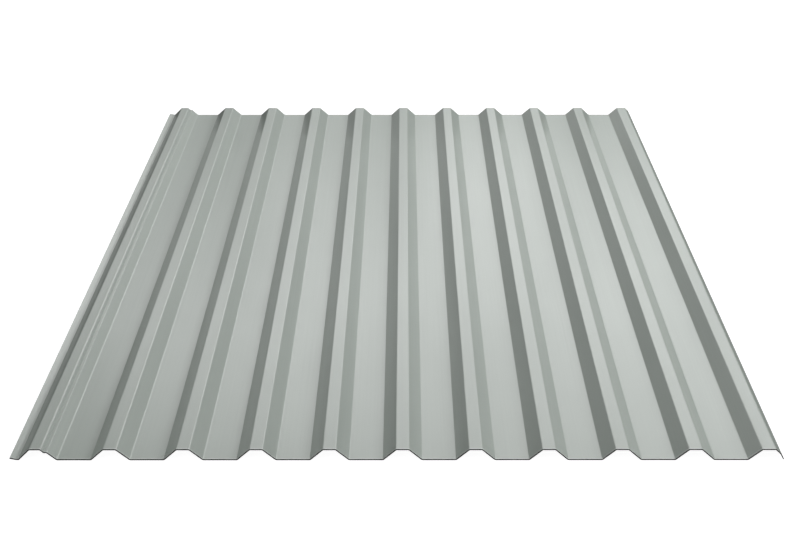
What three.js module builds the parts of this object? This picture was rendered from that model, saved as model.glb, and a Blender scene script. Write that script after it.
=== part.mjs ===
// Trapezoidal ("box profile") corrugated steel sheet, roll formed from one strip.
//
// Millimetres, +Z up. The ribs run along Y, the section lies in XZ. The sheet
// lies as it does on a level floor: the underside of its troughs is at Z = 0.
// The origin is below the middle of the sheet's overall width and length.
//
// The section is drawn once along the middle of the sheet's thickness, as a line
// with a rounded corner at every bend. Half the thickness is then laid off on
// both sides of it, and the closed outline is extruded along the length.

import * as THREE from 'three';

// ---- Driving dimensions -----------------------------------------------------
const LENGTH = 1500;            // along the ribs
const GAUGE = 1.5;              // sheet thickness, coating included
const PITCH = 110;              // rib to rib
const RIB_COUNT = 11;           // ten pitches: 1100 mm of cover width
const RIB_RISE = 18.2;          // trough to rib top, middle of sheet to middle
const RIB_TOP = 19;             // flat over a rib, corner to corner
const WEB_RUN = 19.8;           // width taken by one sloping web
const BEND_R = 3.5;             // main bends, to the middle of the thickness
const SMALL_R = 1.8;            // bends of the foot flange and the end leg
const STEP_R = 1.0;             // sharper bends of the drain step
const BEND_STEPS = 4;           // flats round one bend
// What is left between two ribs is the trough: 110 - 19 - 2 x 19.8 = 51.4 mm.

// First rib, which the next sheet laps over: narrower top, steeper outer web and
// a drain step (anti-capillary groove) on the web that faces the sheet.
const FIRST_LEFT = 10.3;          // from the rib's centre line to the outer corner of its top
const FIRST_TOP = 16.5;         // flat over the first rib
const FIRST_WEB_RUN = 17.8;       // its outer web
const STEP_DROP = 5.2;          // from the rib top down to the step
const STEP_RUN = 4.9;
const STEP_WIDTH = 4.3;         // the step itself, which is level

// Foot flange outside the first rib. It is held just off the floor and rises
// gently outward, a little more so in its outer two thirds.
const FOOT_LIFT = 0.4;
const FOOT_FLAT = 4.4;
const FOOT_RISE = 0.35;
const LIP_RAMP_RUN = 4.5;
const LIP_RAMP_RISE = 1.15;
const LIP_WIDTH = 4.4;
const LIP_RISE = 0.9;

// Last rib, which laps over the next sheet: its outer web is a short leg with
// a kink half way down, and its end stays just off the floor.
const LAST_LEFT = 9.6;         // from the rib's centre line to the inner corner of its top
const LAST_WEB_RUN = 20.3;        // its inner web
const LAST_TOP = 19.8;
const LEG_UPPER_RUN = 7.9;
const LEG_UPPER_DROP = 7.8;
const LEG_LOWER_RUN = 5.2;
const LEG_LOWER_DROP = 9.5;

// ---- Section: corners along the middle of the thickness ---------------------
// Each corner is [x, z, bend radius]; the two free ends have radius 0.
function sectionCorners() {
  const corners = [];
  const half = (RIB_COUNT - 1) / 2;
  for (let i = 0; i < RIB_COUNT; i++) {
    const centre = (i - half) * PITCH;
    const right = centre + RIB_TOP / 2;         // right corner of the rib top
    if (i === 0) {
      const left = centre - FIRST_LEFT;
      const foot = left - FIRST_WEB_RUN;
      const lip = foot - FOOT_FLAT;
      const low = FOOT_LIFT + FOOT_RISE;
      const high = low + LIP_RAMP_RISE;
      corners.push([lip - LIP_RAMP_RUN - LIP_WIDTH, high + LIP_RISE, 0]);
      corners.push([lip - LIP_RAMP_RUN, high, SMALL_R]);
      corners.push([lip, low, SMALL_R]);
      corners.push([foot, FOOT_LIFT, SMALL_R]);
      corners.push([left, RIB_RISE, BEND_R]);
      const c = left + FIRST_TOP;
      corners.push([c, RIB_RISE, BEND_R]);
      corners.push([c + STEP_RUN, RIB_RISE - STEP_DROP, STEP_R]);
      corners.push([c + STEP_RUN + STEP_WIDTH, RIB_RISE - STEP_DROP, STEP_R]);
      corners.push([right + WEB_RUN, 0, BEND_R]);
    } else if (i === RIB_COUNT - 1) {
      const left = centre - LAST_LEFT;
      corners.push([left - LAST_WEB_RUN, 0, BEND_R]);
      corners.push([left, RIB_RISE, BEND_R]);
      const c = left + LAST_TOP;
      corners.push([c, RIB_RISE, BEND_R]);
      corners.push([c + LEG_UPPER_RUN, RIB_RISE - LEG_UPPER_DROP, SMALL_R]);
      corners.push([c + LEG_UPPER_RUN + LEG_LOWER_RUN,
        RIB_RISE - LEG_UPPER_DROP - LEG_LOWER_DROP, 0]);
    } else {
      const left = centre - RIB_TOP / 2;
      corners.push([left - WEB_RUN, 0, BEND_R]);
      corners.push([left, RIB_RISE, BEND_R]);
      corners.push([right, RIB_RISE, BEND_R]);
      corners.push([right + WEB_RUN, 0, BEND_R]);
    }
  }
  return corners;
}

// Rounds every corner and returns points on the middle line, each with the unit
// normal that points to the upper side of the sheet.
function middleLine(corners) {
  const line = [];
  const dir = [];
  const len = [];
  for (let i = 0; i + 1 < corners.length; i++) {
    const dx = corners[i + 1][0] - corners[i][0];
    const dz = corners[i + 1][1] - corners[i][1];
    const l = Math.hypot(dx, dz);
    dir.push([dx / l, dz / l]);
    len.push(l);
  }
  const up = (d) => [-d[1], d[0]];
  line.push({ p: corners[0].slice(0, 2), n: up(dir[0]) });
  for (let i = 1; i + 1 < corners.length; i++) {
    const a = dir[i - 1];
    const b = dir[i];
    const turn = Math.atan2(a[0] * b[1] - a[1] * b[0], a[0] * b[0] + a[1] * b[1]);
    const room = 0.48 * Math.min(len[i - 1], len[i]);
    const r = Math.min(corners[i][2], room / Math.tan(Math.abs(turn) / 2));
    const back = r * Math.tan(Math.abs(turn) / 2);
    const side = Math.sign(turn);
    const start = [corners[i][0] - a[0] * back, corners[i][1] - a[1] * back];
    const na = up(a);
    const centre = [start[0] + side * na[0] * r, start[1] + side * na[1] * r];
    for (let k = 0; k <= BEND_STEPS; k++) {
      const t = turn * k / BEND_STEPS;
      const n = [
        na[0] * Math.cos(t) - na[1] * Math.sin(t),
        na[0] * Math.sin(t) + na[1] * Math.cos(t),
      ];
      line.push({ p: [centre[0] - side * n[0] * r, centre[1] - side * n[1] * r], n });
    }
  }
  line.push({ p: corners[corners.length - 1].slice(0, 2), n: up(dir[dir.length - 1]) });
  return line;
}

// ---- Closed outline of the sheet's cross section ----------------------------
const line = middleLine(sectionCorners());
const h = GAUGE / 2;
const upper = line.map(({ p, n }) => [p[0] + n[0] * h, p[1] + n[1] * h + h]);
const lower = line.map(({ p, n }) => [p[0] - n[0] * h, p[1] - n[1] * h + h]);
const outline = lower.concat(upper.reverse());
const xs = outline.map((q) => q[0]);
const shiftX = -(Math.min(...xs) + Math.max(...xs)) / 2;

const shape = new THREE.Shape(outline.map(([x, z]) => new THREE.Vector2(x + shiftX, z)));
const geometry = new THREE.ExtrudeGeometry(shape, {
  depth: LENGTH,
  steps: 1,
  bevelEnabled: false,
});
geometry.rotateX(Math.PI / 2);            // section's Y becomes +Z, length runs to -Y
geometry.translate(0, LENGTH / 2, 0);     // length centred on the origin

// ---- The sheet --------------------------------------------------------------
const coated = new THREE.MeshStandardMaterial({
  name: 'coil_coated_steel',
  color: new THREE.Color().setRGB(0.62, 0.65, 0.63, THREE.SRGBColorSpace),
  roughness: 0.42,
  metalness: 0.0,
});

const sheet = new THREE.Mesh(geometry, coated);
sheet.name = 'corrugated_sheet';

const part = new THREE.Group();
part.name = 'trapezoidal_corrugated_sheet';
part.add(sheet);

export default part;
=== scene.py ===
"""Looks of the trapezoidal coated steel sheet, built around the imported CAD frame.

The sheet is one roll-formed strip, so one fine mesh stands for the CAD node: the
same section, gauge, pitch and length, with rounder bends, sheared edges that roll
over, and the slight crown that thin flats keep. Units are metres, in the row frame.
"""

import math
import random
import bpy
from mathutils import Matrix, Vector


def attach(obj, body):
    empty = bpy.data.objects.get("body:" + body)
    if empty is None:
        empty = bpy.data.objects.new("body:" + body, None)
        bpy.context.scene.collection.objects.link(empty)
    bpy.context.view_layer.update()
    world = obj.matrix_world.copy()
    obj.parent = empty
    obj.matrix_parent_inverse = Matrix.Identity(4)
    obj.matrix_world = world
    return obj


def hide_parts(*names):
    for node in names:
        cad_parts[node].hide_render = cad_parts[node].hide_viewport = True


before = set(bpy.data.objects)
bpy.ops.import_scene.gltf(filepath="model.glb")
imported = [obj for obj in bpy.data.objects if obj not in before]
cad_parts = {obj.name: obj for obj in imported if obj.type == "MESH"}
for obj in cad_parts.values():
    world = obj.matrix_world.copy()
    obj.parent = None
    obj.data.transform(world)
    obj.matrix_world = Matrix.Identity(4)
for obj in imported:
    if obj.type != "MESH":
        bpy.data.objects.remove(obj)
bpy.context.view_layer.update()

# ---------------------------------------------------------------------------
# Section of the sheet, in millimetres, as the CAD source has it
# ---------------------------------------------------------------------------
LENGTH = 1500.0
GAUGE = 1.5
PITCH = 110.0
RIB_COUNT = 11
RIB_RISE = 18.2
RIB_TOP = 19.0
WEB_RUN = 19.8
BEND_R = 3.5
# finer shape of the bends than the CAD's 3.5 mm: tighter over the ribs, softer at the
# foot of the webs that face +X, whose light line is as broad as the one over the rib
TOP_R, FOOT_NEAR_R, FOOT_FAR_R = 3.2, 3.0, 4.9
SMALL_R = 1.8
STEP_R = 1.0
FIRST_LEFT, FIRST_TOP, FIRST_WEB_RUN = 10.3, 16.5, 17.8
STEP_DROP, STEP_RUN, STEP_WIDTH = 5.2, 4.9, 4.3
FOOT_LIFT, FOOT_FLAT, FOOT_RISE = 0.4, 4.4, 0.35
LIP_RAMP_RUN, LIP_RAMP_RISE, LIP_WIDTH, LIP_RISE = 4.5, 1.15, 4.4, 0.9
LAST_LEFT, LAST_WEB_RUN, LAST_TOP = 9.6, 20.3, 19.8
LEG_UPPER_RUN, LEG_UPPER_DROP = 7.9, 7.8
LEG_LOWER_RUN, LEG_LOWER_DROP = 5.2, 9.5

BEND_STEPS = 8  # facets round one bend, twice the CAD's
random.seed(11)


def corners():
    """[x, z, bend radius] of every corner along the middle of the thickness."""
    c = []
    half = (RIB_COUNT - 1) / 2
    for i in range(RIB_COUNT):
        mid = (i - half) * PITCH
        left, right = mid - RIB_TOP / 2, mid + RIB_TOP / 2
        if i == 0:
            left = mid - FIRST_LEFT
            foot = left - FIRST_WEB_RUN
            lip = foot - FOOT_FLAT
            low = FOOT_LIFT + FOOT_RISE
            high = low + LIP_RAMP_RISE
            q = left + FIRST_TOP
            c += [
                (lip - LIP_RAMP_RUN - LIP_WIDTH, high + LIP_RISE, 0),
                (lip - LIP_RAMP_RUN, high, SMALL_R),
                (lip, low, SMALL_R),
                (foot, FOOT_LIFT, SMALL_R),
                (left, RIB_RISE, BEND_R),
                (q, RIB_RISE, BEND_R),
                (q + STEP_RUN, RIB_RISE - STEP_DROP, STEP_R),
                (q + STEP_RUN + STEP_WIDTH, RIB_RISE - STEP_DROP, STEP_R),
                (right + WEB_RUN, 0, FOOT_FAR_R),
            ]
        elif i == RIB_COUNT - 1:
            left = mid - LAST_LEFT
            q = left + LAST_TOP
            c += [
                (left - LAST_WEB_RUN, 0, BEND_R),
                (left, RIB_RISE, BEND_R),
                (q, RIB_RISE, BEND_R),
                (q + LEG_UPPER_RUN, RIB_RISE - LEG_UPPER_DROP, SMALL_R),
                (
                    q + LEG_UPPER_RUN + LEG_LOWER_RUN,
                    RIB_RISE - LEG_UPPER_DROP - LEG_LOWER_DROP,
                    0,
                ),
            ]
        else:
            c += [
                (left - WEB_RUN, 0, FOOT_NEAR_R),
                (left, RIB_RISE, TOP_R),
                (right, RIB_RISE, TOP_R),
                (right + WEB_RUN, 0, FOOT_FAR_R),
            ]
    return c


def up(d):
    return (-d[1], d[0])


def section():
    """Stations across the strip: (x, z, normal x, normal z, flat number or -1, place on the flat from -1 to 1, flat width)."""
    c = corners()
    dirs, lens = [], []
    for a, b in zip(c, c[1:]):
        dx, dz = b[0] - a[0], b[1] - a[1]
        n = math.hypot(dx, dz)
        dirs.append((dx / n, dz / n))
        lens.append(n)
    bends = []  # (start point, arc stations, end point)
    for i in range(1, len(c) - 1):
        a, b = dirs[i - 1], dirs[i]
        turn = math.atan2(a[0] * b[1] - a[1] * b[0], a[0] * b[0] + a[1] * b[1])
        room = 0.48 * min(lens[i - 1], lens[i])
        r = min(c[i][2], room / math.tan(abs(turn) / 2))
        back = r * math.tan(abs(turn) / 2)
        side = 1.0 if turn > 0 else -1.0
        start = (c[i][0] - a[0] * back, c[i][1] - a[1] * back)
        na = up(a)
        centre = (start[0] + side * na[0] * r, start[1] + side * na[1] * r)
        steps = BEND_STEPS if c[i][2] > 2.5 else max(4, BEND_STEPS // 2)
        arc = []
        for k in range(steps + 1):
            t = turn * k / steps
            n = (
                na[0] * math.cos(t) - na[1] * math.sin(t),
                na[0] * math.sin(t) + na[1] * math.cos(t),
            )
            arc.append((centre[0] - side * n[0] * r, centre[1] - side * n[1] * r, n[0], n[1]))
        bends.append(arc)
    rows = []
    for i in range(len(dirs)):
        begin = bends[i - 1][-1] if i > 0 else (c[0][0], c[0][1], *up(dirs[0]))
        end = bends[i][0] if i < len(bends) else (c[-1][0], c[-1][1], *up(dirs[-1]))
        width = math.hypot(end[0] - begin[0], end[1] - begin[1])
        parts = 8 if width > 35 else 4 if width > 9 else 2 if width > 4 else 1
        for k in range(parts + 1):
            f = k / parts
            # stations close up towards the bends, where the crown dies out
            f = 0.5 - 0.5 * math.cos(math.pi * f) if parts > 2 else f
            rows.append(
                (
                    begin[0] + (end[0] - begin[0]) * f,
                    begin[1] + (end[1] - begin[1]) * f,
                    begin[2],
                    begin[3],
                    i,
                    2 * f - 1,
                    width,
                )
            )
        if i < len(bends):
            for s in bends[i][1:-1]:
                rows.append((*s, -1, 0.0, 0.0))
    return rows


ROWS = section()
_h = GAUGE / 2
_xs = [r[0] + s * r[2] * _h for r in ROWS for s in (1, -1)]
SHIFT = -(min(_xs) + max(_xs)) / 2


# ---------------------------------------------------------------------------
# Crown of the flats: thin roll-formed flats are never quite flat between bends
# ---------------------------------------------------------------------------
class Wave:
    """A smooth random line along the length: value and slope at y, from -1 to 1."""

    def __init__(self, rng, longest):
        self.terms = [
            (rng.uniform(0.5, 1.0) / (k + 1), 2 * math.pi * (k + 1) / longest * rng.uniform(0.85, 1.2), rng.uniform(0, 2 * math.pi))
            for k in range(4)
        ]
        self.size = sum(a for a, _, _ in self.terms)

    def at(self, y):
        return (
            sum(a * math.sin(w * y + p) for a, w, p in self.terms) / self.size,
            sum(a * w * math.cos(w * y + p) for a, w, p in self.terms) / self.size,
        )


_rng = random.Random(5)
CROWN = {}
for _r in ROWS:
    if _r[4] >= 0 and _r[4] not in CROWN:
        level = _r[3] > 0.99
        low = level and _r[1] < 5
        if _r[6] < 9:
            size, lift = 0.0, 0.0
        elif low:
            size, lift = 0.05, 0.07  # a trough only crowns up, so it stays on the floor
        elif level:
            size, lift = 0.02, -0.03  # a rib top only sinks, so it stays in the box
        else:
            size, lift = 0.02, 0.0
        CROWN[_r[4]] = (size, lift, Wave(_rng, 900.0))


def crown(row, y):
    """Height above the plain section along its normal, and its slopes across and along, in mm."""
    k, u, width = row[4], row[5], row[6]
    if k < 0 or abs(u) >= 1 or width < 9:
        return 0.0, 0.0, 0.0
    size, lift, wave = CROWN[k]
    v, dv = wave.at(y)
    w = (1 - u * u) ** 2
    dw = -4 * u * (1 - u * u) / (width / 2)
    return (lift + size * v) * w, (lift + size * v) * dw, size * dv * w


# ---------------------------------------------------------------------------
# The mesh: upper skin, lower skin, and the sheared rim that joins them
# ---------------------------------------------------------------------------
# (how far in from the cut, share of the thickness from the upper face down).
# The first and last rings are the edges of the two skins.
RIM = [
    (0.42, 0.000),
    (0.26, 0.022),
    (0.12, 0.065),
    (0.03, 0.120),
    (0.00, 0.190),
    (0.00, 0.560),
    (0.030, 0.860),
    (0.030, 0.965),
    (0.060, 1.000),
]


def y_stations():
    """Places along the length, closer together near the two cut ends."""
    half = LENGTH / 2 - RIM[0][0]
    near = [0.0, 0.9, 2.4, 6.0, 14.0, 28.0]
    inner = half - near[-1]
    n = 44
    ys = [-half + d for d in near]
    ys += [-inner + 2 * inner * k / n for k in range(1, n)]
    ys += [half - d for d in reversed(near)]
    return ys


YS = y_stations()


def place(row, y, side, drop=0.0, back=(0.0, 0.0)):
    """A point and its normal. side is +1 for the upper skin and -1 for the lower one; drop is how far below that face, and back moves it in along the section and the length."""
    h, hs, hy = crown(row, y)
    nx, nz = row[2], row[3]
    off = side * _h - drop + h
    x = row[0] + nx * off
    z = row[1] + nz * off + _h
    tx, tz = nz, -nx
    x += tx * back[0]
    z += tz * back[0]
    n = Vector((nx - hs * tx, -hy, nz - hs * tz)).normalized() * side
    return ((x + SHIFT) / 1000, (y + back[1]) / 1000, z / 1000), n


def build_sheet():
    verts, normals, faces, mats, uvs = [], [], [], [], []
    ns, ny = len(ROWS), len(YS)
    run = [0.0]  # distance along the strip, for the unrolled map
    for a, b in zip(ROWS, ROWS[1:]):
        run.append(run[-1] + math.hypot(b[0] - a[0], b[1] - a[1]))
    total = run[-1]
    edge_in = RIM[0][0]

    def skin(side):
        base = len(verts)
        inset = edge_in if side > 0 else RIM[-1][0]
        for j, y in enumerate(YS):
            # the lower skin reaches nearly to the cut, so its end stations move out
            if side < 0 and j in (0, ny - 1):
                y = math.copysign(LENGTH / 2 - inset, y)
            for i, row in enumerate(ROWS):
                back = inset if i == 0 else -inset if i == ns - 1 else 0.0
                p, n = place(row, y, side, back=(back, 0.0))
                verts.append(p)
                normals.append(n)
        return base

    top, low = skin(1), skin(-1)

    def unrolled(i, j, side):
        u = run[i] / total * 0.47 + (0.01 if side > 0 else 0.52)
        v = 0.02 + 0.96 * (YS[j] / LENGTH + 0.5)
        return (u, v)

    for side, base in ((1, top), (-1, low)):
        for j in range(ny - 1):
            for i in range(ns - 1):
                q = [base + j * ns + i, base + j * ns + i + 1, base + (j + 1) * ns + i + 1, base + (j + 1) * ns + i]
                m = [(i, j), (i + 1, j), (i + 1, j + 1), (i, j + 1)]
                if side < 0:
                    q.reverse()
                    m.reverse()
                faces.append(q)
                mats.append(0 if side > 0 else 1)
                uvs.append([unrolled(a, b, side) for a, b in m])

    # the ring of boundary stations, anticlockwise seen from above
    ring = [(i, 0) for i in range(ns)]
    ring += [(ns - 1, j) for j in range(1, ny)]
    ring += [(i, ny - 1) for i in range(ns - 2, -1, -1)]
    ring += [(0, j) for j in range(ny - 2, 0, -1)]

    def rim_point(i, j, inset, share):
        row = ROWS[i]
        back = inset if i == 0 else -inset if i == ns - 1 else 0.0
        y = YS[j]
        if j == 0:
            y = -(LENGTH / 2 - inset)
        elif j == ny - 1:
            y = LENGTH / 2 - inset
        h, _, _ = crown(row, YS[j])
        off = _h - share * GAUGE + h
        tx, tz = row[3], -row[2]
        x = row[0] + row[2] * off + tx * back
        z = row[1] + row[3] * off + tz * back + _h
        return ((x + SHIFT) / 1000, y / 1000, z / 1000)

    def outward(i, j):
        row = ROWS[i]
        out = Vector((0, 0, 0))
        if i == 0:
            out += Vector((-row[3], 0, row[2]))
        if i == ns - 1:
            out += Vector((row[3], 0, -row[2]))
        if j == 0:
            out += Vector((0, -1, 0))
        if j == ny - 1:
            out += Vector((0, 1, 0))
        return out.normalized()

    rings = [[top + j * ns + i for i, j in ring]]
    for k in range(1, len(RIM) - 1):
        inset, share = RIM[k]
        before, after = RIM[k - 1], RIM[k + 1]
        # slope of the rim's own outline there
        d_in, d_sh = after[0] - before[0], (after[1] - before[1]) * GAUGE
        here = []
        for i, j in ring:
            here.append(len(verts))
            verts.append(rim_point(i, j, inset, share))
            o, r = outward(i, j), ROWS[i]
            n = o * d_sh - Vector((r[2], 0, r[3])) * d_in
            normals.append(n.normalized())
        rings.append(here)
    rings.append([low + j * ns + i for i, j in ring])

    # corner normals of the rim's first and last bands come from the skins
    n_ring = len(ring)
    strip = 2 * (total + LENGTH)
    along = [0.0]
    for k in range(n_ring):
        a, b = Vector(verts[rings[0][k]]), Vector(verts[rings[0][(k + 1) % n_ring]])
        along.append(along[-1] + (b - a).length * 1000)
    for k in range(len(rings) - 1):
        for q in range(n_ring):
            q2 = (q + 1) % n_ring
            faces.append([rings[k][q], rings[k + 1][q], rings[k + 1][q2], rings[k][q2]])
            mats.append(0 if k < 1 else 2)
            v0, v1 = RIM[k][1], RIM[k + 1][1]
            u0, u1 = along[q] / strip, along[q + 1] / strip
            uvs.append(
                [(u, 0.002 + 0.014 * v) for u, v in ((u0, v0), (u0, v1), (u1, v1), (u1, v0))]
            )

    mesh = bpy.data.meshes.new("corrugated_sheet_skin")
    mesh.from_pydata(verts, [], faces)
    mesh.polygons.foreach_set("material_index", mats)
    mesh.polygons.foreach_set("use_smooth", [True] * len(faces))
    layer = mesh.uv_layers.new(name="OFBake")
    flat = [c for f in uvs for uv in f for c in uv]
    layer.data.foreach_set("uv", flat)
    # depth through the thickness, for the look of the sheared face
    depth = mesh.attributes.new("thickness", "FLOAT", "POINT")
    values = [0.0] * len(verts)
    for k, here in enumerate(rings):
        for v in here:
            values[v] = RIM[k][1]
    for j in range(ny):
        for i in range(ns):
            values[low + j * ns + i] = 1.0
    depth.data.foreach_set("value", values)
    mesh.validate()
    mesh.update()

    # Normals: the two skins keep their own all the way to the cut, and the cut is
    # sharp at the lower arris, where the shear breaks out.
    custom = [Vector((0, 0, 0))] * len(mesh.loops)
    low_ring = set(rings[-1])
    for poly in mesh.polygons:
        for li in poly.loop_indices:
            v = mesh.loops[li].vertex_index
            n = normals[v]
            if poly.material_index == 2 and v in low_ring:
                n = poly.normal.copy()
            custom[li] = n
    mesh.normals_split_custom_set(custom)
    return mesh


sheet = bpy.data.objects.new("sheet", build_sheet())
bpy.context.scene.collection.objects.link(sheet)
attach(sheet, "root")
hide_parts("corrugated_sheet")


# ---------------------------------------------------------------------------
# Materials
# ---------------------------------------------------------------------------
class Nodes:
    """Small helper over one material's node tree."""

    def __init__(self, name):
        self.mat = bpy.data.materials.new(name)
        self.mat.use_nodes = True
        self.tree = self.mat.node_tree
        self.bsdf = self.tree.nodes["Principled BSDF"]

    def add(self, kind, **settings):
        node = self.tree.nodes.new(kind)
        for key, value in settings.items():
            if key in node.inputs:
                node.inputs[key].default_value = value
            else:
                setattr(node, key, value)
        return node

    def link(self, a, b):
        self.tree.links.new(a, b)

    def math(self, op, a, b=None, clamp=False):
        node = self.add("ShaderNodeMath", operation=op, use_clamp=clamp)
        for k, v in ((0, a), (1, b)):
            if v is None:
                continue
            if isinstance(v, (int, float)):
                node.inputs[k].default_value = v
            else:
                self.link(v, node.inputs[k])
        return node.outputs[0]

    def spread(self, value, low, high, lo=0.0, hi=1.0):
        node = self.add("ShaderNodeMapRange", clamp=True)
        self.link(value, node.inputs["Value"])
        for key, v in (("From Min", low), ("From Max", high), ("To Min", lo), ("To Max", hi)):
            node.inputs[key].default_value = v
        return node.outputs["Result"]

    def noise(self, vector, scale, detail=2.0, rough=0.5, stretch=None, seed=0.0):
        """3D noise over the piece's own coordinates, drawn out by stretch."""
        if stretch:
            m = self.add("ShaderNodeMapping")
            m.inputs["Scale"].default_value = stretch
            m.inputs["Location"].default_value = (seed, seed * 0.7, -seed)
            self.link(vector, m.inputs["Vector"])
            vector = m.outputs["Vector"]
        n = self.add("ShaderNodeTexNoise", noise_dimensions="3D")
        n.inputs["Scale"].default_value = scale
        n.inputs["Detail"].default_value = detail
        n.inputs["Roughness"].default_value = rough
        self.link(vector, n.inputs["Vector"])
        return n.outputs["Fac"]

    def blend(self, factor, a, b):
        node = self.add("ShaderNodeMix", data_type="RGBA", clamp_factor=True)
        self.link(factor, node.inputs["Factor"])
        for key, v in (("A", a), ("B", b)):
            socket = [s for s in node.inputs if s.name == key and s.type == "RGBA"][0]
            if isinstance(v, tuple):
                socket.default_value = (*v, 1.0)
            else:
                self.link(v, socket)
        return [s for s in node.outputs if s.type == "RGBA"][0]


def top_coat():
    t = Nodes("coil_coat_upper")
    at = t.add("ShaderNodeTexCoord").outputs["Object"]
    parts = t.add("ShaderNodeSeparateXYZ")
    t.link(at, parts.inputs[0])
    # faint drift in shade, and fine streaks left along the rolling direction
    drift = t.noise(at, 3.0, 3.0, 0.55, (1.0, 0.6, 1.0))
    streak = t.noise(at, 1.0, 3.0, 0.6, (420.0, 2.2, 420.0), 3.1)
    mixed = t.math("ADD", t.math("MULTIPLY", drift, 0.65), t.math("MULTIPLY", streak, 0.35))
    fac = t.spread(mixed, 0.32, 0.68)
    body = t.blend(fac, COAT_LOW, COAT_HIGH)
    # the foot flange is painted a shade paler: painted light, standing in for the brighter light it catches
    flange_painted_light = t.spread(parts.outputs[0], -0.5703, -0.5693, FLANGE_PAINTED_LIGHT, 0.0)
    body = t.blend(flange_painted_light, body, COAT_PAINTED_LIGHT)
    # at the two cut ends a dark band is painted right at the arris, painted shade for the shadow line along the cut,
    # and a pale band just behind it, a painted highlight
    y = t.math("ABSOLUTE", parts.outputs[1])
    band_wobble = t.noise(at, 260.0, 3.0, 0.6, (1.0, 1.0, 1.0), 9.0)
    inward = t.math("SUBTRACT", 0.75, y)
    inward = t.math("ADD", inward, t.math("MULTIPLY", t.math("SUBTRACT", band_wobble, 0.5), 0.0009))
    edge_painted_highlight = t.spread(inward, 0.0022, 0.0042, 1.0, 0.0)
    colour = t.blend(t.math("MULTIPLY", edge_painted_highlight, EDGE_PAINTED_HIGHLIGHT), body, COAT_PAINTED_LIGHT)
    edge_painted_shade = t.spread(inward, 0.0008, 0.0013, 1.0, 0.0)
    colour = t.blend(t.math("MULTIPLY", edge_painted_shade, 0.93), colour, CUT_BREAK_SHADED)
    t.link(colour, t.bsdf.inputs["Base Color"])
    rough = t.spread(t.noise(at, 38.0, 3.0, 0.6, (1.0, 0.25, 1.0), 5.0), 0.3, 0.7, COAT_ROUGH - 0.02, COAT_ROUGH + 0.015)
    t.link(rough, t.bsdf.inputs["Roughness"])
    t.bsdf.inputs["IOR"].default_value = 1.5
    # orange peel of the baked coating, over the very fine texture of the strip
    peel = t.noise(at, 420.0, 2.0, 0.5)
    fine = t.noise(at, 1500.0, 2.0, 0.6)
    height = t.math("ADD", peel, t.math("MULTIPLY", fine, 0.35))
    bump = t.add("ShaderNodeBump")
    bump.inputs["Strength"].default_value = 0.35
    bump.inputs["Distance"].default_value = 0.00004
    t.link(height, bump.inputs["Height"])
    t.link(bump.outputs["Normal"], t.bsdf.inputs["Normal"])
    return t.mat


def back_coat():
    t = Nodes("backing_coat_lower")
    at = t.add("ShaderNodeTexCoord").outputs["Object"]
    drift = t.noise(at, 5.0, 3.0, 0.6, (1.0, 0.5, 1.0), 2.0)
    streak = t.noise(at, 1.0, 4.0, 0.65, (300.0, 1.6, 300.0), 7.0)
    mixed = t.math("ADD", t.math("MULTIPLY", drift, 0.5), t.math("MULTIPLY", streak, 0.5))
    body = t.blend(t.spread(mixed, 0.3, 0.7), BACK_LOW, BACK_HIGH)
    t.link(body, t.bsdf.inputs["Base Color"])
    rough = t.spread(t.noise(at, 60.0, 3.0, 0.6, (1.0, 0.2, 1.0), 4.0), 0.3, 0.7, 0.5, 0.6)
    t.link(rough, t.bsdf.inputs["Roughness"])
    bump = t.add("ShaderNodeBump")
    bump.inputs["Strength"].default_value = 0.4
    bump.inputs["Distance"].default_value = 0.00004
    t.link(t.noise(at, 700.0, 3.0, 0.6), bump.inputs["Height"])
    t.link(bump.outputs["Normal"], t.bsdf.inputs["Normal"])
    return t.mat


def cut_edge():
    """The sheared face: a burnished band under the roll-over, then the rougher, darker break, all painted near black:
    dark bare steel deepened by painted shade.
    """
    t = Nodes("sheared_edge")
    at = t.add("ShaderNodeTexCoord").outputs["Object"]
    depth = t.add("ShaderNodeAttribute")
    depth.attribute_name = "thickness"
    d = depth.outputs["Fac"]
    striae = t.noise(at, 1.0, 3.0, 0.7, (2600.0, 2600.0, 160.0), 1.0)
    band = t.spread(t.math("ADD", d, t.math("MULTIPLY", striae, 0.22)), 0.5, 0.72)
    body = t.blend(band, CUT_BURNISH_SHADED, CUT_BREAK_SHADED)
    body = t.blend(t.math("MULTIPLY", t.spread(striae, 0.35, 0.7), 0.35), body, CUT_DARK_SHADED)
    t.link(body, t.bsdf.inputs["Base Color"])
    t.link(t.spread(band, 0.0, 1.0, 0.42, 0.7), t.bsdf.inputs["Roughness"])
    t.bsdf.inputs["Metallic"].default_value = 0.6
    bump = t.add("ShaderNodeBump")
    bump.inputs["Strength"].default_value = 0.5
    bump.inputs["Distance"].default_value = 0.00003
    t.link(striae, bump.inputs["Height"])
    t.link(bump.outputs["Normal"], t.bsdf.inputs["Normal"])
    return t.mat


COAT_LOW = (0.328, 0.367, 0.336)
COAT_HIGH = (0.3525, 0.394, 0.3605)
# a paler coat: painted light on the foot flange, and a painted highlight just behind the cut ends
COAT_PAINTED_LIGHT = (0.535, 0.578, 0.543)
# strength of the painted highlight behind the cut ends
EDGE_PAINTED_HIGHLIGHT = 0.6
# how far the foot flange is painted towards the paler coat, as painted light
FLANGE_PAINTED_LIGHT = 0.42
COAT_ROUGH = 0.25
BACK_LOW = (0.47, 0.48, 0.47)
BACK_HIGH = (0.52, 0.53, 0.52)
# the sheared face's colours are near black, dark bare steel deepened by painted shade; the break colour also paints the
# shaded band at the arris
CUT_BURNISH_SHADED = (0.022, 0.022, 0.022)
CUT_BREAK_SHADED = (0.010, 0.010, 0.010)
CUT_DARK_SHADED = (0.005, 0.005, 0.005)

for material in (top_coat(), back_coat(), cut_edge()):
    sheet.data.materials.append(material)


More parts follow.
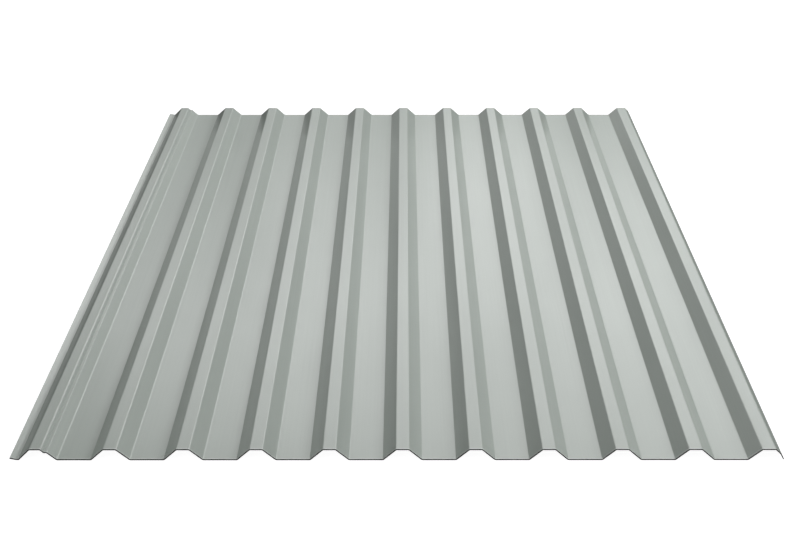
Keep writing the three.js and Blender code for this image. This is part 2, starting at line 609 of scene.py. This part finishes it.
# ---------------------------------------------------------------------------
# Floor, light, camera
# ---------------------------------------------------------------------------
def make_floor():
    n, radius = 96, 40.0
    ring = [(radius * math.cos(2 * math.pi * k / n), radius * math.sin(2 * math.pi * k / n), -0.0002) for k in range(n)]
    mesh = bpy.data.meshes.new("floor")
    mesh.from_pydata(ring, [], [list(range(n))])
    floor = bpy.data.objects.new("floor", mesh)
    bpy.context.scene.collection.objects.link(floor)
    t = Nodes("floor_pale")
    t.bsdf.inputs["Base Color"].default_value = (0.25, 0.25, 0.25, 1.0)
    t.bsdf.inputs["Roughness"].default_value = 0.9
    t.bsdf.inputs["Specular IOR Level"].default_value = 0.0
    t.bsdf.inputs["Emission Color"].default_value = (1, 1, 1, 1)
    t.bsdf.inputs["Emission Strength"].default_value = FLOOR_GLOW
    mesh.materials.append(t.mat)
    # the photo's sheet stands free of any floor, so this one sends it no light
    floor.visible_diffuse = False
    floor.visible_glossy = False
    return floor


FLOOR_GLOW = 0.97
WORLD = 0.0
SIDE_TINT = (1.0, 0.972, 0.996)
FAR = 3.6  # metres from the middle of the sheet to every lamp
# name, azimuth from behind the sheet, elevation, width, height, radiance
# the big lamp on the right is a shade less green than the rest, which lifts the webs it lights
LIGHTS = [
    ("lamp_0", -39, 8, 1.4, 0.884, 0.199),
    ("lamp_1", -26, 8, 1.4, 0.884, 0.337),
    ("lamp_2", -13, 8, 1.4, 0.884, 0.315),
    ("lamp_3", 0, 8, 1.4, 0.884, 0.341),
    ("lamp_4", 26, 8, 1.4, 0.884, 0.300),
    ("lamp_5", 65, 8, 1.4, 0.884, 0.207),
    ("lamp_6", 78, 8, 1.4, 0.884, 1.227),
    ("lamp_7", -39, 17, 1.4, 0.884, 0.147),
    ("lamp_8", -26, 17, 1.4, 0.884, 0.198),
    ("lamp_9", 0, 17, 1.4, 0.884, 0.270),
    ("lamp_10", 13, 17, 1.4, 0.884, 0.522),
    ("lamp_11", -39, 26, 1.4, 0.884, 0.376),
    ("lamp_12", -26, 26, 1.4, 0.884, 0.324),
    ("lamp_13", -13, 26, 1.4, 0.884, 0.833),
    ("lamp_14", 0, 26, 1.4, 0.884, 1.219),
    ("lamp_15", 13, 26, 1.4, 0.884, 1.711),
    ("lamp_16", 26, 26, 1.4, 0.884, 0.753),
    ("lamp_17", 52, 26, 1.4, 0.884, 0.150),
    ("lamp_18", 65, 26, 1.4, 0.884, 0.958),
    ("lamp_19", 78, 26, 1.4, 0.884, 1.173),
    ("lamp_20", -52, 35, 1.4, 0.884, 0.484),
    ("lamp_21", -26, 35, 1.4, 0.884, 0.805),
    ("lamp_22", -13, 35, 1.4, 0.884, 1.793),
    ("lamp_23", 0, 35, 1.4, 0.884, 0.628),
    ("lamp_24", 13, 35, 1.4, 0.884, 0.743),
    ("lamp_25", 26, 35, 1.4, 0.884, 1.640),
    ("lamp_26", 39, 35, 1.4, 0.884, 1.779),
    ("lamp_27", 52, 35, 1.4, 0.884, 0.817),
    ("lamp_28", 65, 35, 1.4, 0.884, 2.155),
    ("lamp_29", 78, 35, 1.4, 0.884, 3.915),
    ("lamp_30", -13, 44, 1.4, 0.884, 0.321),
    ("lamp_31", 0, 44, 1.4, 0.884, 1.363),
    ("lamp_32", 13, 44, 1.4, 0.884, 1.041),
    ("lamp_33", 26, 44, 1.4, 0.884, 0.481),
    ("lamp_34", 39, 44, 1.4, 0.884, 0.390),
    ("lamp_35", 65, 44, 1.4, 0.884, 0.251),
    ("lamp_36", 78, 44, 1.4, 0.884, 1.525),
    ("lamp_37", -135, 38, 2.621, 1.662, 2.352),
    ("lamp_38", 180, 12, 2.621, 1.662, 0.146),
    ("lamp_39", 105, 38, 2.621, 1.662, 4.060),
]


def make_lights():
    for name, azimuth, elevation, wide, high, radiance in LIGHTS:
        a, e = math.radians(azimuth), math.radians(elevation)
        place_ = FAR * Vector((math.sin(a) * math.cos(e), math.cos(a) * math.cos(e), math.sin(e)))
        data = bpy.data.lights.new(name, "AREA")
        data.shape = "RECTANGLE"
        data.size, data.size_y = wide, high
        data.energy = math.pi * wide * high * radiance
        if azimuth == 105:
            data.color = SIDE_TINT
        lamp = bpy.data.objects.new(name, data)
        bpy.context.scene.collection.objects.link(lamp)
        lamp.location = place_
        lamp.rotation_euler = (-place_).to_track_quat("-Z", "Y").to_euler()
        lamp.visible_camera = False
    # the world is a plain white backdrop to the camera, and a fill of strength WORLD, here zero, to everything else
    world = bpy.data.worlds.new("studio")
    world.use_nodes = True
    tree = world.node_tree
    fill = tree.nodes["Background"]
    fill.inputs["Color"].default_value = (1, 1, 1, 1)
    fill.inputs["Strength"].default_value = WORLD
    back = tree.nodes.new("ShaderNodeBackground")
    back.inputs["Color"].default_value = (1, 1, 1, 1)
    back.inputs["Strength"].default_value = FLOOR_GLOW
    path = tree.nodes.new("ShaderNodeLightPath")
    mix = tree.nodes.new("ShaderNodeMixShader")
    tree.links.new(path.outputs["Is Camera Ray"], mix.inputs[0])
    tree.links.new(fill.outputs[0], mix.inputs[1])
    tree.links.new(back.outputs[0], mix.inputs[2])
    tree.links.new(mix.outputs[0], tree.nodes["World Output"].inputs["Surface"])
    bpy.context.scene.world = world


def make_camera():
    data = bpy.data.cameras.new("camera")
    data.sensor_fit = "HORIZONTAL"
    data.sensor_width = 36.0
    data.lens = 1295.06 / 800 * 36
    data.shift_x = -(404.424 - 400) / 800
    data.clip_start, data.clip_end = 0.05, 100.0
    cam = bpy.data.objects.new("camera", data)
    bpy.context.scene.collection.objects.link(cam)
    cam.location = (0.011878, -2.35812, 1.13788)
    turn, tip, roll = (math.radians(a) for a in (0.0075, 90 - 26.969, -0.0274))
    cam.rotation_euler = (Matrix.Rotation(turn, 3, "Z") @ Matrix.Rotation(tip, 3, "X") @ Matrix.Rotation(roll, 3, "Z")).to_euler()
    bpy.context.scene.camera = cam
    return cam


make_floor()
make_lights()
make_camera()
bpy.context.scene.view_settings.view_transform = "Standard"

bpy.context.view_layer.update()
